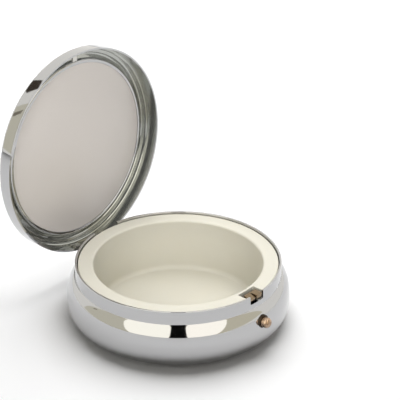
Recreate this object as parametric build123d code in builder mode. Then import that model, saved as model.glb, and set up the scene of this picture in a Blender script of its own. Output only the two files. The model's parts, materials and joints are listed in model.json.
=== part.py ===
"""A round pyx of the pill-box kind, resting open: a drawn metal bowl with a plastic cup in it, a lid hinged
inside the bowl's wall, and a push button that frees the lid's hook.

Millimetres, +Z up. The origin is the middle of the base, on the surface it stands on. The button points
along -Y, the hinge is at +Y and its pin lies along X. The lid's pieces are drawn as they stand when the lid
is shut, and are then swung open about the pin.
"""

from build123d import *
from math import acos, asin, cos, degrees, radians, sin
import os

os.makedirs("parts", exist_ok=True)

# Bowl: drawn sheet, widest below its middle, with a round shoulder and an upright neck for the lid's skirt
bowl_radius = 25.0
bowl_height = 14.3
bowl_sheet = 0.45
heel_radius = 5.0  # round turn from the foot up to the widest ring
neck_draw_in = 1.95  # from the widest ring to the neck
rim_bevel = 0.12
side_band = 1.3  # straight part of the side, at the widest ring
side_radius = 10.0  # of the arc above it
side_turn = 15.0
shoulder_radius = 4.0  # of the tighter arc that goes on from there to the neck

# Plastic cup
cup_foot_inset = 1.6  # from the floor's edge to the ring on which the cup stands in the bowl
cup_foot_width = 0.8
cup_foot_height = 0.5
cup_floor = 0.9
cup_wall = 0.75
cup_rim_width = 4.1  # from the neck's outer face to the bore
cup_floor_inset = 1.9  # from the edge of the bowl's flat foot to the cup's bore at its floor
cup_inner_round = 1.2
cup_outer_bevel = 0.8
flange_thickness = 0.9
flange_drop = 0.4  # how far the flange lies below the neck's edge
flange_clearance = 0.08
flange_lip_round = 0.5
flange_notch_width = 5.2
flange_notch_clearance = 0.05

# Lid: pressed sheet with a skirt, three stepped rings and a recess for the print
lid_sheet = 0.35
skirt_clearance = 0.6  # between the neck and the skirt
skirt_overlap = 2.6  # how far the skirt reaches down over the neck and the slope
neck_edge_clearance = 0.15  # between the neck's edge and the outer ring, when the lid is shut
outer_ring_width = 0.7
middle_ring_width = 0.9
inner_ring_width = 0.8
bezel_width = 1.1
bezel_drop = 0.4
step_rise = 0.8
recess_depth = 0.8
ring_nose = 0.42  # bend on a ring's outer edge
ring_root = 0.4  # bend at a ring's foot, on the inside of the sheet
bezel_round = 0.3

# Print and its clear cover
print_thickness = 0.1
cover_thickness = 0.35
cover_bevel = 0.1
print_clearance = 0.1

# Mirror and the ring that holds it
mirror_inset = 0.05  # from the recess's wall
mirror_thickness = 0.6
mirror_clearance = 0.05
mirror_ring_width = 0.5
mirror_lip = 0.5
mirror_lip_thickness = 0.25
mirror_ring_bevel = 0.15

# Hinge: knuckles on a pin that lies in the wall, behind a cut-out
pin_inset = 1.2  # from the bowl's widest ring to the pin's axis
pin_drop = 5.8  # from the neck's edge down to the pin's axis
open_angle = 92.5
pin_radius = 0.4
pin_running_clearance = 0.05
pin_end = 0.15
pin_bevel = 0.1
knuckle_radius = 0.75
leaf_width = 6.8
leaf_knuckle_width = 0.9
leaf_sheet = 0.4
leaf_foot_length = 2.6
leaf_bend = 0.9
leaf_stop_gap = 0.85  # from the pin's axis down to the leaf's top edge
leaf_turn_share = 0.6  # of the leaf's height: where its slanting part ends
knuckle_gap = 0.1  # between the leaf's knuckles and the arm's
arm_sheet = 0.45
arm_knuckle_width = 1.0
arm_window = 1.3  # from the pin's axis to the arm's solid part
arm_plate_angle = 24.0
arm_plate_sheet = 0.35
arm_plate_foot = 0.5
arm_plate_drop = 0.55  # from the top of the outer ring down to the plate's edge
stop_nose_radius = 1.0
stop_nose_angle = 14.0
stop_gap = 0.05  # between the nose and the leaf when the lid is open
cutout_clearance = 0.35
cutout_drop = 0.5
cutout_corner = 0.6

# Torsion spring on the pin
spring_wire_radius = 0.14
spring_coil_radius = 0.62
spring_side_clearance = 0.45  # on each side, to the arm's knuckles
spring_turns = 2
spring_lean = 12.0  # of the long leg, from the arm's face
spring_leg = 2.2

# Push button, its eyelet and the latch
button_drop = 6.1  # from the neck's edge down to the button's axis
button_radius = 1.2
button_reach = 1.95  # how far it stands out of the bowl
button_dome = 0.9
button_clearance = 0.05
button_travel = 0.9
button_collar_radius = 1.75
button_collar_width = 0.4
button_shank_radius = 0.95
tenon_radius = 0.6
tenon_head_radius = 0.95
tenon_head_width = 0.3
eyelet_wall = 0.25
eyelet_proud = 0.3
eyelet_flange_radius = 2.0
eyelet_flange_width = 0.4
eyelet_flange_gap = 0.2
eyelet_bevel = 0.12
collar_stop_gap = 0.1

latch_sheet = 0.4
latch_back_clearance = 0.2  # to the cup when the button is pressed home
latch_width = 3.8
latch_plate_below = 4.0  # from the button's axis down to the plate's foot
latch_hook_drop = 1.35  # from the neck's edge down to the hook's underside
latch_hook_reach = 1.45
latch_hook_thickness = 0.95
latch_hook_nose = 0.55  # upright face left at the hook's tip
latch_bite = 0.65  # of the hook over the lid's prong
latch_split = 0.2
latch_block_reach = 1.6
notch_width = 4.2
notch_depth = 1.9
notch_corner = 0.3

# Hook on the lid: a plate on the skirt, with a prong that reaches in through the notch
hook_sheet = 0.35
hook_plate_angle = 8.4
hook_plate_foot = 0.8  # from the skirt's edge up to the plate
hook_plate_drop = 0.55  # from the top of the outer ring down to the plate's edge
hook_prong_width = 1.3
hook_prong_gap = 0.2
hook_clearance = 0.1

# Leaf spring behind the latch plate
spring_sheet = 0.25
spring_width = 2.8
spring_foot_length = 2.0
spring_bend = 0.7
spring_turn_share = 0.5  # of the height of its contact: where its slanting part ends
spring_gap = 0.05
spring_contact_drop = 2.0  # from the button's axis down to the contact

overrun = 1.0  # how far cutting shapes run past what they cut

# Bowl's heights and radii that follow from the sizes above
neck_radius = bowl_radius - neck_draw_in
foot_radius = bowl_radius - heel_radius
side_start = heel_radius + side_band
shoulder_offset = bowl_radius - side_radius + (side_radius - shoulder_radius) * cos(radians(side_turn))
shoulder_start = side_start + (side_radius - shoulder_radius) * sin(radians(side_turn))
shoulder_turn = degrees(acos((neck_radius - shoulder_offset) / shoulder_radius)) - side_turn
bowl_floor = bowl_sheet

# Cup's
cup_under = bowl_floor + cup_foot_height
cup_bore_radius = neck_radius - cup_rim_width
cup_floor_radius = foot_radius - cup_floor_inset
cup_foot_radius = cup_floor_radius - cup_foot_inset
flange_top = bowl_height - flange_drop
flange_radius = neck_radius - bowl_sheet - flange_clearance

# Lid's, as it stands when it is shut
skirt_bore_radius = neck_radius + skirt_clearance
lid_radius = skirt_bore_radius + lid_sheet
outer_step_radius = lid_radius - outer_ring_width
middle_step_radius = outer_step_radius - middle_ring_width
inner_step_radius = middle_step_radius - inner_ring_width
recess_radius = inner_step_radius - bezel_width
skirt_edge_height = bowl_height - skirt_overlap
outer_ring_height = bowl_height + neck_edge_clearance + lid_sheet
lid_floor_top = outer_ring_height + 2 * step_rise - recess_depth
lid_floor_under = lid_floor_top - lid_sheet
mirror_radius = recess_radius - mirror_inset

# Hinge's
pin_offset = bowl_radius - pin_inset
pin_height = bowl_height - pin_drop
knuckle_face = pin_offset - knuckle_radius
leaf_top = pin_height - leaf_stop_gap
arm_width = leaf_width - 2 * (leaf_knuckle_width + knuckle_gap)
arm_top = outer_ring_height - arm_plate_drop
arm_foot_height = skirt_edge_height + arm_plate_foot
arm_plate_face = skirt_bore_radius - arm_plate_sheet
arm_inner = (skirt_bore_radius**2 - (arm_width / 2) ** 2) ** 0.5 - arm_sheet
spring_stub = leaf_stop_gap - stop_gap
spring_room = arm_width - 2 * (arm_knuckle_width + spring_side_clearance + spring_wire_radius)
stop_flank = knuckle_radius - leaf_sheet - stop_gap  # from the pin's axis to the nose's flank
stop_nose_start = open_angle - 90 - degrees(asin(stop_flank / stop_nose_radius))

# Latch's
button_height = bowl_height - button_drop
plate_back = cup_bore_radius + cup_wall + latch_back_clearance + button_travel
latch_offset = plate_back + latch_sheet  # from the bowl's axis to the outer face of the latch plate
latch_foot_height = button_height - latch_plate_below
latch_hook_height = bowl_height - latch_hook_drop
latch_block_height = flange_top
hook_foot_height = skirt_edge_height + hook_plate_foot
hook_top = outer_ring_height - hook_plate_drop

hinge_axis = Axis((0, pin_offset, pin_height), (1, 0, 0))


def save(part, name):
    """Labels a finished piece and writes it under its own name."""
    part.label = name
    export_step(part, f"parts/{name}.step")


def swing_open(part):
    """Turns a piece of the lid about the hinge pin, from shut to the pose it rests in."""
    return part.rotate(hinge_axis, -open_angle)


def bowl_surface_radius(height):
    """Radius of the bowl's outer face at a height on its shoulder."""
    return shoulder_offset + (shoulder_radius**2 - (height - shoulder_start)**2) ** 0.5


# Bowl
with BuildPart() as base_shell:
    with BuildSketch(Plane.XZ):
        with BuildLine():
            foot = Line((0, 0), (foot_radius, 0))
            TangentArc(foot @ 1, (bowl_radius, heel_radius), tangent=(1, 0))
            Line((bowl_radius, heel_radius), (bowl_radius, side_start))
            CenterArc((bowl_radius - side_radius, side_start), side_radius, 0, side_turn)
            shoulder = CenterArc((shoulder_offset, shoulder_start), shoulder_radius, side_turn, shoulder_turn)
            Line(shoulder @ 1, (neck_radius, bowl_height))
            offset(amount=bowl_sheet, side=Side.LEFT)
        make_face()
    revolve(axis=Axis.Z)
    chamfer(base_shell.edges().group_by(Axis.Z)[-1], rim_bevel)
    # notch in the neck, over the latch
    with BuildSketch(Plane.XZ):
        with Locations((0, bowl_height - notch_depth)):
            Rectangle(notch_width, notch_depth + overrun, align=(Align.CENTER, Align.MIN))
        fillet(vertices().group_by(Axis.Y)[0], notch_corner)
    extrude(amount=bowl_radius, mode=Mode.SUBTRACT)
    # cut-out for the hinge
    with BuildSketch(Plane.XZ.offset(-(bowl_radius + overrun))):
        with Locations((0, pin_height - knuckle_radius - cutout_drop)):
            Rectangle(leaf_width + 2 * cutout_clearance, bowl_height, align=(Align.CENTER, Align.MIN))
        fillet(vertices().group_by(Axis.Y)[0], cutout_corner)
    extrude(amount=bowl_radius, mode=Mode.SUBTRACT)
    # hole for the button's eyelet
    with BuildSketch(Plane.XZ):
        with Locations((0, button_height)):
            Circle(button_radius + button_clearance + eyelet_wall)
    extrude(amount=bowl_radius + overrun, mode=Mode.SUBTRACT)

save(base_shell.part, "base_shell")

# Plastic cup: it stands in the bowl on a ring under its floor, and its flange fills the neck
with BuildPart() as insert_cup:
    flange_under = flange_top - flange_thickness
    with BuildSketch(Plane.XZ):
        with BuildLine():
            Polyline((0, cup_under), (cup_floor_radius + cup_wall, cup_under),
                     (cup_bore_radius + cup_wall, flange_under), (flange_radius, flange_under),
                     (flange_radius, flange_top), (cup_bore_radius, flange_top),
                     (cup_floor_radius, cup_under + cup_floor), (0, cup_under + cup_floor), (0, cup_under))
        make_face()
    revolve(axis=Axis.Z)
    rings = insert_cup.edges().filter_by(GeomType.CIRCLE)
    chamfer(rings.group_by(Axis.Z)[0], cup_outer_bevel)
    rings = insert_cup.edges().filter_by(GeomType.CIRCLE)
    fillet(rings.filter_by(lambda e: abs(e.radius - cup_floor_radius) < cup_wall / 2
                           and e.center().Z < cup_floor + cup_under + cup_wall), cup_inner_round)
    rings = insert_cup.edges().filter_by(GeomType.CIRCLE)
    fillet(rings.group_by(Axis.Z)[-1].sort_by(SortBy.RADIUS)[0], flange_lip_round)
    with BuildSketch(Plane.XY.offset(bowl_floor)):
        Circle(cup_foot_radius)
        Circle(cup_foot_radius - cup_foot_width, mode=Mode.SUBTRACT)
    extrude(amount=cup_foot_height)
    # notch in the flange, over the latch
    with BuildSketch(Plane.XY.offset(flange_under)):
        with Locations((0, -(cup_bore_radius + cup_wall + flange_notch_clearance))):
            Rectangle(flange_notch_width, flange_radius, align=(Align.CENTER, Align.MAX))
    extrude(amount=flange_thickness + overrun, mode=Mode.SUBTRACT)

save(insert_cup.part, "insert_cup")

# Eyelet: a sleeve through the bowl's side with its flange inside
eyelet_radius = button_radius + button_clearance + eyelet_wall
button_face = bowl_surface_radius(button_height)
inner_face_top = bowl_surface_radius(button_height + eyelet_flange_radius) - bowl_sheet
eyelet_flange_face = inner_face_top - eyelet_flange_gap
with BuildPart() as button_eyelet:
    with BuildSketch(Plane.XZ.offset(eyelet_flange_face - eyelet_flange_width)):
        with Locations((0, button_height)):
            Circle(eyelet_flange_radius)
    extrude(amount=eyelet_flange_width)
    with BuildSketch(Plane.XZ.offset(eyelet_flange_face)):
        with Locations((0, button_height)):
            Circle(eyelet_radius)
    extrude(amount=button_face + eyelet_proud - eyelet_flange_face)
    chamfer(button_eyelet.edges().filter_by(GeomType.CIRCLE).group_by(Axis.Y)[0], eyelet_bevel)
    with BuildSketch(Plane.XZ.offset(eyelet_flange_face - eyelet_flange_width)):
        with Locations((0, button_height)):
            Circle(button_radius + button_clearance)
    extrude(amount=bowl_radius, mode=Mode.SUBTRACT)

save(button_eyelet.part, "button_eyelet")

# Push button: turned pin, half its profile drawn outwards from the plate that it is riveted to
collar_face = eyelet_flange_face - eyelet_flange_width - collar_stop_gap
button_tip = button_face + button_reach
with BuildPart() as push_button:
    with BuildSketch(Plane.YZ):
        with BuildLine():
            Polyline((-plate_back + tenon_head_width, button_height),
                     (-plate_back + tenon_head_width, button_height + tenon_head_radius),
                     (-plate_back, button_height + tenon_head_radius),
                     (-plate_back, button_height + tenon_radius),
                     (-latch_offset, button_height + tenon_radius),
                     (-latch_offset, button_height + button_shank_radius),
                     (-(collar_face - button_collar_width), button_height + button_shank_radius),
                     (-(collar_face - button_collar_width), button_height + button_collar_radius),
                     (-collar_face, button_height + button_collar_radius),
                     (-collar_face, button_height + button_radius),
                     (-button_tip, button_height + button_radius),
                     (-button_tip, button_height),
                     (-plate_back + tenon_head_width, button_height))
        make_face()
    revolve(axis=Axis((0, 0, button_height), (0, 1, 0)))
    fillet(push_button.edges().filter_by(GeomType.CIRCLE).group_by(Axis.Y)[0], button_dome)

save(push_button.part, "push_button")

# Latch plate: a stiff plate riveted to the button. Its hook is to the left, and a block stands to the right
plate_right = latch_width / 2
with BuildPart() as latch_plate:
    with BuildSketch(Plane.YZ.offset(-plate_right)):
        with Locations((-latch_offset, latch_foot_height)):
            Rectangle(latch_sheet, latch_hook_height + latch_hook_thickness - latch_foot_height,
                      align=(Align.MIN, Align.MIN))
    extrude(amount=latch_width)
    with BuildSketch(Plane.YZ.offset(-plate_right)):
        with BuildLine():
            Polyline((-latch_offset, latch_hook_height),
                     (-(latch_offset + latch_hook_reach), latch_hook_height),
                     (-(latch_offset + latch_hook_reach), latch_hook_height + latch_hook_nose),
                     (-plate_back, latch_hook_height + latch_hook_thickness),
                     (-plate_back, latch_hook_height), close=True)
        make_face()
    extrude(amount=plate_right - latch_split / 2)
    with BuildSketch(Plane.YZ.offset(latch_split / 2)):
        with BuildLine():
            Polyline((-plate_back, latch_hook_height), (-plate_back, latch_block_height),
                     (-(latch_offset + latch_block_reach), latch_block_height),
                     (-(latch_offset + latch_block_reach), latch_hook_height),
                     (-(latch_offset + latch_block_reach) + latch_sheet, latch_hook_height),
                     (-(latch_offset + latch_block_reach) + latch_sheet, latch_block_height - latch_sheet),
                     (-latch_offset, latch_block_height - latch_sheet),
                     (-latch_offset, latch_hook_height), close=True)
        make_face()
    extrude(amount=plate_right - latch_split / 2)
    with BuildSketch(Plane.XZ.offset(plate_back)):
        with Locations((0, button_height)):
            Circle(tenon_radius)
    extrude(amount=latch_sheet, mode=Mode.SUBTRACT)

save(latch_plate.part, "latch_plate")

# Leaf spring: its foot lies under the cup's floor, and its free end bears on the latch plate
spring_foot_radius = (foot_radius**2 - (spring_width / 2) ** 2) ** 0.5
spring_tip = plate_back - spring_gap
spring_contact_height = button_height - spring_contact_drop
spring_turn_height = bowl_floor + spring_turn_share * (spring_contact_height - bowl_floor)
with BuildPart() as latch_spring:
    with BuildSketch(Plane.YZ.offset(-spring_width / 2)):
        with BuildLine():
            FilletPolyline((-(spring_foot_radius - spring_foot_length), bowl_floor),
                           (-spring_foot_radius, bowl_floor),
                           (-(spring_tip - spring_sheet / 2), spring_turn_height),
                           (-spring_tip, spring_contact_height),
                           (-(spring_tip - spring_sheet), spring_contact_height + spring_bend),
                           radius=spring_bend)
            offset(amount=spring_sheet, side=Side.RIGHT)
        make_face()
    extrude(amount=spring_width)

save(latch_spring.part, "latch_spring")

# Base's leaf of the hinge: a foot under the cup, a riser, and a knuckle at each side
leaf_turn_height = bowl_floor + leaf_turn_share * (leaf_top - bowl_floor)
leaf_foot_radius = (foot_radius**2 - (leaf_width / 2) ** 2) ** 0.5
with BuildPart() as hinge_leaf:
    with BuildSketch(Plane.YZ.offset(-leaf_width / 2)):
        with BuildLine():
            leaf_outer = knuckle_face + leaf_sheet
            FilletPolyline((leaf_foot_radius - leaf_foot_length, bowl_floor),
                           (leaf_foot_radius, bowl_floor), (leaf_outer, leaf_turn_height),
                           (leaf_outer, leaf_top), radius=leaf_bend)
            offset(amount=leaf_sheet, side=Side.LEFT)
        make_face()
    extrude(amount=leaf_width)
    for side_start in (-leaf_width / 2, leaf_width / 2 - leaf_knuckle_width):
        with BuildSketch(Plane.YZ.offset(side_start)):
            with Locations((pin_offset, pin_height)):
                Circle(knuckle_radius)
            with Locations((knuckle_face, pin_height)):
                Rectangle(leaf_sheet, knuckle_radius + leaf_sheet, align=(Align.MIN, Align.MAX))
            with Locations((pin_offset, pin_height)):
                Circle(pin_radius, mode=Mode.SUBTRACT)
        extrude(amount=leaf_knuckle_width)

save(hinge_leaf.part, "hinge_leaf")

# Hinge pin: pressed into the base's knuckles
with BuildPart() as hinge_pin:
    with BuildSketch(Plane.YZ.offset(-(leaf_width / 2 + pin_end))):
        with Locations((pin_offset, pin_height)):
            Circle(pin_radius)
    extrude(amount=leaf_width + 2 * pin_end)
    chamfer(hinge_pin.edges().filter_by(GeomType.CIRCLE), pin_bevel)

save(hinge_pin.part, "hinge_pin")

# Lid's arm: a plate on the skirt, two fingers and their knuckles, with a nose on each that stops the lid
with BuildPart() as hinge_arm:
    for finger_start in (-arm_width / 2, arm_width / 2 - arm_knuckle_width):
        with BuildSketch(Plane.YZ.offset(finger_start)):
            with Locations((pin_offset, pin_height)):
                Circle(knuckle_radius)
            with BuildLine():
                nose = CenterArc((pin_offset, pin_height), stop_nose_radius,
                                 stop_nose_start, stop_nose_angle)
                Line((pin_offset, pin_height), nose @ 0)
                Line(nose @ 1, (pin_offset, pin_height))
            make_face()
            with Locations((arm_inner, pin_height)):
                Rectangle(arm_sheet, arm_top - pin_height, align=(Align.MIN, Align.MIN))
            with Locations((pin_offset, pin_height)):
                Circle(pin_radius + pin_running_clearance, mode=Mode.SUBTRACT)
        extrude(amount=arm_knuckle_width)
    with BuildSketch(Plane.XZ.offset(-arm_inner)):
        with Locations((0, pin_height + arm_window)):
            Rectangle(arm_width, arm_top - pin_height - arm_window, align=(Align.CENTER, Align.MIN))
    extrude(amount=-arm_sheet)
    for half_arc in (-arm_plate_angle / 2, arm_plate_angle / 2):
        with BuildSketch(Plane.YZ):
            with Locations((arm_plate_face, arm_foot_height)):
                Rectangle(arm_plate_sheet, arm_top - arm_foot_height, align=(Align.MIN, Align.MIN))
        revolve(axis=Axis.Z, revolution_arc=half_arc)

save(swing_open(hinge_arm.part), "hinge_arm")

# Torsion spring on the pin: its long leg lies along the arm, and its short one stands on the base's leaf
with BuildPart() as hinge_spring:
    coil_turns = spring_turns + (open_angle - spring_lean) / 360
    with BuildLine() as spring_path:
        wound = Helix(spring_room / coil_turns, spring_room, spring_coil_radius, direction=(1, 0, 0),
                      center=(-spring_room / 2, pin_offset, pin_height), mode=Mode.PRIVATE)
        coil = wound.rotate(hinge_axis, 90 + spring_lean)
        add(coil)
        long_leg = Line(coil @ 0 - (coil % 0) * spring_leg, coil @ 0)
        Line(coil @ 1, coil @ 1 + (coil % 1) * spring_stub)
    with BuildSketch(Plane(origin=long_leg @ 0, z_dir=long_leg % 0)):
        Circle(spring_wire_radius)
    sweep(path=spring_path.wire())

steps_per_turn = 40
coil_steps = round(coil_turns * steps_per_turn)
coil_points = [coil @ (step / coil_steps) for step in range(coil_steps + 1)]
gaps = [(coil_points[near] - coil_points[far]).length - 2 * spring_wire_radius
        for near in range(coil_steps) for far in range(near + steps_per_turn // 2, coil_steps + 1)]
print(f"hinge_spring: least gap between its turns {min(gaps):.2f} mm")

save(swing_open(hinge_spring.part), "hinge_spring")


def lid_corners(inset):
    """Corners of the lid's section, skirt to middle, on a face that lies inset below the outer one."""
    ring = outer_ring_height - inset
    bezel_slope = bezel_drop / (inner_step_radius - recess_radius)
    bezel_end = recess_radius + inset
    return [
        (lid_radius - inset, skirt_edge_height),
        (lid_radius - inset, ring),
        (outer_step_radius - inset, ring),
        (outer_step_radius - inset, ring + step_rise),
        (middle_step_radius - inset, ring + step_rise),
        (middle_step_radius - inset, ring + 2 * step_rise),
        (inner_step_radius, ring + 2 * step_rise),
        (bezel_end, ring + 2 * step_rise - bezel_slope * (inner_step_radius - bezel_end)),
        (bezel_end, lid_floor_top - inset),
        (0, lid_floor_top - inset),
    ]


# Lid shell: a pressed disc with a skirt, three steps and a recess
with BuildPart() as lid_shell:
    outer_corners = lid_corners(0)
    inner_corners = lid_corners(lid_sheet)
    with BuildSketch(Plane.XZ):
        with BuildLine():
            Polyline(*outer_corners, *reversed(inner_corners), close=True)
        make_face()
        noses, roots, bezel_edge = outer_corners[1:6:2], inner_corners[2:7:2], outer_corners[7]
        for nose, root in zip(noses, roots):
            fillet(vertices().sort_by_distance(nose)[0], ring_nose)
            fillet(vertices().sort_by_distance(root)[0], ring_root)
        fillet(vertices().sort_by_distance(bezel_edge)[0], bezel_round)
    revolve(axis=Axis.Z)

save(swing_open(lid_shell.part), "lid_shell")

# Printed disc in the recess, and the clear disc over it
with BuildPart() as print_disc:
    with BuildSketch(Plane.XY.offset(lid_floor_top)):
        Circle(recess_radius - print_clearance)
    extrude(amount=print_thickness)

save(swing_open(print_disc.part), "print_disc")

with BuildPart() as clear_cover:
    with BuildSketch(Plane.XY.offset(lid_floor_top + print_thickness)):
        Circle(recess_radius - print_clearance)
    extrude(amount=cover_thickness)
    chamfer(clear_cover.edges().group_by(Axis.Z)[-1], cover_bevel)

save(swing_open(clear_cover.part), "clear_cover")

# Mirror under the lid's floor, and the ring pressed round it
with BuildPart() as mirror_disc:
    with BuildSketch(Plane.XY.offset(lid_floor_under)):
        Circle(mirror_radius)
    extrude(amount=-mirror_thickness)

save(swing_open(mirror_disc.part), "mirror_disc")

with BuildPart() as mirror_ring:
    mirror_face = lid_floor_under - mirror_thickness
    ring_bore = mirror_radius + mirror_clearance
    ring_outer = ring_bore + mirror_ring_width
    with BuildSketch(Plane.XZ):
        with BuildLine():
            Polyline((ring_bore, lid_floor_under), (ring_outer, lid_floor_under),
                     (ring_outer, mirror_face - mirror_lip_thickness),
                     (ring_bore - mirror_lip, mirror_face - mirror_lip_thickness),
                     (ring_bore - mirror_lip, mirror_face), (ring_bore, mirror_face), close=True)
        make_face()
    revolve(axis=Axis.Z)
    chamfer(mirror_ring.edges().group_by(Axis.Z)[0].sort_by(SortBy.RADIUS)[-1], mirror_ring_bevel)

save(swing_open(mirror_ring.part), "mirror_ring")

# Hook: a curved plate on the inside of the skirt, and a prong that goes under the latch's hook
prong_top = latch_hook_height - hook_clearance
prong_side = -(latch_split / 2 + hook_prong_gap)
prong_end = latch_offset + latch_hook_reach - latch_bite
with BuildPart() as catch_tongue:
    for half_arc in (-hook_plate_angle / 2, hook_plate_angle / 2):
        with BuildSketch(Plane.YZ):
            with Locations((-skirt_bore_radius, hook_foot_height)):
                Rectangle(hook_sheet, hook_top - hook_foot_height, align=(Align.MIN, Align.MIN))
        revolve(axis=Axis.Z, revolution_arc=half_arc)
    with BuildSketch(Plane.XY.offset(prong_top - hook_sheet)):
        with Locations((prong_side, -prong_end)):
            Rectangle(hook_prong_width, skirt_bore_radius - hook_sheet / 2 - prong_end,
                      align=(Align.MAX, Align.MAX))
    extrude(amount=hook_sheet)

save(swing_open(catch_tongue.part), "catch_tongue")
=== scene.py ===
import json
from math import atan2, cos, hypot, pi, radians, sin

import bpy
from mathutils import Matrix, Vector

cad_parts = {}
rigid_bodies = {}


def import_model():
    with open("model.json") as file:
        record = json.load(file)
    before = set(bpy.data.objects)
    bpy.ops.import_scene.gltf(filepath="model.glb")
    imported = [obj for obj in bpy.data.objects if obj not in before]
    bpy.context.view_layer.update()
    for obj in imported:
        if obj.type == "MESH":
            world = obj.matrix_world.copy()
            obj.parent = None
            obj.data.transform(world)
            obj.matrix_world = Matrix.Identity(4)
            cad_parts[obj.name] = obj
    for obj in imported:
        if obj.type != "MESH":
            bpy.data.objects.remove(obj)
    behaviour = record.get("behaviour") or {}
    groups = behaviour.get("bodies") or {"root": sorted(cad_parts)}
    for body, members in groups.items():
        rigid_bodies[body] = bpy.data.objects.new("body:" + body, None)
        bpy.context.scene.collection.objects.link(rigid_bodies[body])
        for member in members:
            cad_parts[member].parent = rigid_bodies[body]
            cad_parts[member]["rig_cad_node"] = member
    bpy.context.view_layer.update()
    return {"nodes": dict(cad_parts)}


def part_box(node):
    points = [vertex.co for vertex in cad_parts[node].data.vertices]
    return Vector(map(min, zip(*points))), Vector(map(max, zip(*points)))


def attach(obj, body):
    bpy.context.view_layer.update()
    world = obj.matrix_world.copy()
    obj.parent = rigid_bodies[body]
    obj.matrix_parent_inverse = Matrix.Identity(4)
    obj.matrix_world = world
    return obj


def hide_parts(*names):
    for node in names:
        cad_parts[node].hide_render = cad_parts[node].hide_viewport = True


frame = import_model()

# The bowl: one drawn steel shell, polished and chrome plated, with an upright neck that the lid goes over.
# A press cuts the notch over the latch, the opening for the hinge and the hole for the button's eyelet.

MM = 0.001
bowl_radius = 25.0 * MM
bowl_height = 14.3 * MM
bowl_sheet = 0.45 * MM
heel_radius = 5.0 * MM
neck_radius = 23.05 * MM
side_corner = 7.617 * MM
shoulder_corner = (24.275 * MM, 10.321 * MM)
neck_foot = 11.157 * MM
side_round = 1.31 * MM
shoulder_round = 1.42 * MM
neck_round = 0.05 * MM
rim_bevel = 0.12 * MM
notch_width = 4.2 * MM
notch_depth = 1.9 * MM
notch_corner = 0.3 * MM
hinge_opening = 7.5 * MM
hinge_opening_foot = 7.25 * MM
hinge_opening_rise = 10 * MM
hinge_opening_reach = 14 * MM
hinge_opening_corner = 0.6 * MM
button_height = 8.2 * MM
eyelet_radius = 1.5 * MM
cut_reach = 8 * MM
pole_radius = 0.2 * MM
turned_sides = 256
smooth_angle = radians(28)
merge_distance = 1e-7


def linear(hex_colour):
    """Turns an sRGB hex colour into the linear values that a shader takes."""
    parts = [int(hex_colour[i:i + 2], 16) / 255 for i in (0, 2, 4)]
    return [p / 12.92 if p <= 0.04045 else ((p + 0.055) / 1.055) ** 2.4 for p in parts] + [1.0]


def add_node(tree, kind, settings, links=None):
    """Adds a node, sets its options and its sockets' values, and links its sockets."""
    node = tree.nodes.new(kind)
    for name, value in settings.items():
        if name in node.inputs:
            node.inputs[name].default_value = value
        else:
            setattr(node, name, value)
    for name, source in (links or {}).items():
        tree.links.new(source, node.inputs[name])
    return node


def start_material(name):
    """Makes a material, and returns it with its tree, its main shader and the object's own coordinates."""
    material = bpy.data.materials.new(name)
    material.use_nodes = True
    tree = material.node_tree
    space = add_node(tree, "ShaderNodeTexCoord", {}).outputs["Object"]
    return material, tree, tree.nodes["Principled BSDF"], space


def turn_profile(name, profile, sides=turned_sides):
    """Turns a profile, a list of (radius, height), about the upright axis, ring by ring."""
    bpy.ops.object.select_all(action="DESELECT")
    radius, height = profile[0]
    bpy.ops.mesh.primitive_circle_add(vertices=sides, radius=radius, location=(0, 0, 0))
    piece = bpy.context.object
    piece.name = piece.data.name = name
    bpy.ops.object.mode_set(mode="EDIT")
    bpy.ops.mesh.select_all(action="SELECT")
    bpy.ops.transform.translate(value=(0, 0, height))
    for next_radius, next_height in profile[1:]:
        bpy.ops.mesh.extrude_region_move(TRANSFORM_OT_translate={"value": (0, 0, next_height - height)})
        share = next_radius / radius
        bpy.ops.transform.resize(value=(share, share, 1), center_override=(0, 0, next_height))
        radius, height = next_radius, next_height
    bpy.ops.object.mode_set(mode="OBJECT")
    return piece


def select_ring(piece, radius, height):
    """Enters edit mode with the one ring of edges selected that lies at a radius and height."""
    bpy.ops.object.mode_set(mode="EDIT")
    bpy.ops.mesh.select_mode(type="EDGE")
    bpy.ops.mesh.select_all(action="DESELECT")
    bpy.ops.object.mode_set(mode="OBJECT")
    near = 2e-6
    on_ring = [abs(hypot(v.co.x, v.co.y) - radius) < near and abs(v.co.z - height) < near
               for v in piece.data.vertices]
    for edge in piece.data.edges:
        edge.select = all(on_ring[v] for v in edge.vertices)
    bpy.ops.object.mode_set(mode="EDIT")


def round_ring(piece, radius, height, width, steps=6):
    """Bevels the ring of edges that lies at one radius and height."""
    select_ring(piece, radius, height)
    bpy.ops.mesh.bevel(offset=width, segments=steps, affect="EDGES", clamp_overlap=False)
    bpy.ops.object.mode_set(mode="OBJECT")


def close_turned(piece, *poles):
    """Merges doubles, fills each pole's last ring, given as (radius, height), and turns the faces outwards."""
    bpy.ops.object.mode_set(mode="EDIT")
    bpy.ops.mesh.select_all(action="SELECT")
    bpy.ops.mesh.remove_doubles(threshold=merge_distance)
    bpy.ops.object.mode_set(mode="OBJECT")
    for radius, height in poles:
        select_ring(piece, radius, height)
        bpy.ops.mesh.edge_face_add()
        bpy.ops.object.mode_set(mode="OBJECT")
    bpy.ops.object.mode_set(mode="EDIT")
    bpy.ops.mesh.select_all(action="SELECT")
    bpy.ops.mesh.normals_make_consistent(inside=False)
    bpy.ops.object.mode_set(mode="OBJECT")


def apply_modifier(piece, kind, **settings):
    """Adds a modifier with its settings and applies it."""
    modifier = piece.modifiers.new(kind.title(), kind)
    for name, value in settings.items():
        setattr(modifier, name, value)
    bpy.context.view_layer.objects.active = piece
    bpy.ops.object.modifier_apply(modifier=modifier.name)


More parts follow.
